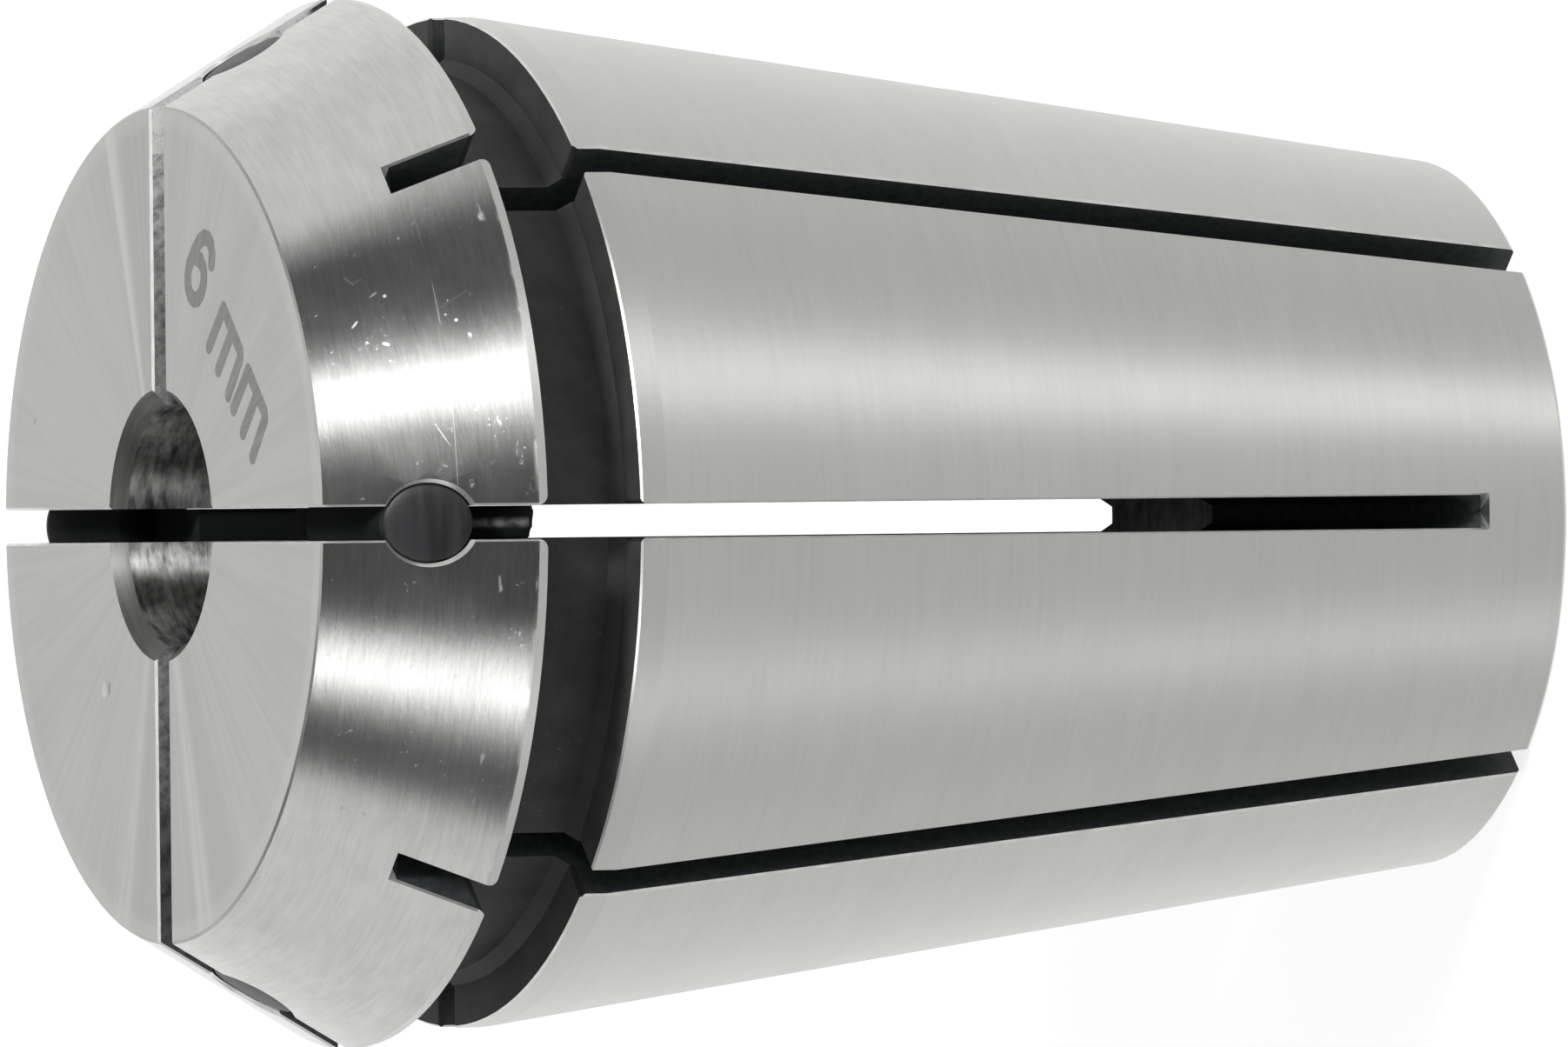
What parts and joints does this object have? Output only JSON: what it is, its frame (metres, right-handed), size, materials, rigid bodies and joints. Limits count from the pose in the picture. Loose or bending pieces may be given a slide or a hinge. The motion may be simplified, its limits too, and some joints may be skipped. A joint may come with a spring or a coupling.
{
  "type": "sealed spring collet",
  "caption": "Sealed spring collet with a front cone, a nut groove, a long taper, slots from both ends and rubber slot seals.",
  "frame": {"origin": "centre of the flat rear face, the collet's small end, on which it stands", "axes": "+Z along the bore axis from the rear face to the front face; one front slot faces -Y"},
  "size_m": [0.0258, 0.0258, 0.034],
  "materials": {
    "ground_steel": "hardened spring steel, ground bright outside, black oxide left in the groove and slots",
    "seal_rubber": "black moulded elastomer"
  },
  "bodies": {
    "root": {"collet_body": "ground_steel", "slot_seal_1": "seal_rubber", "slot_seal_2": "seal_rubber", "slot_seal_3": "seal_rubber", "slot_seal_4": "seal_rubber"}
  },
  "joints": []
}
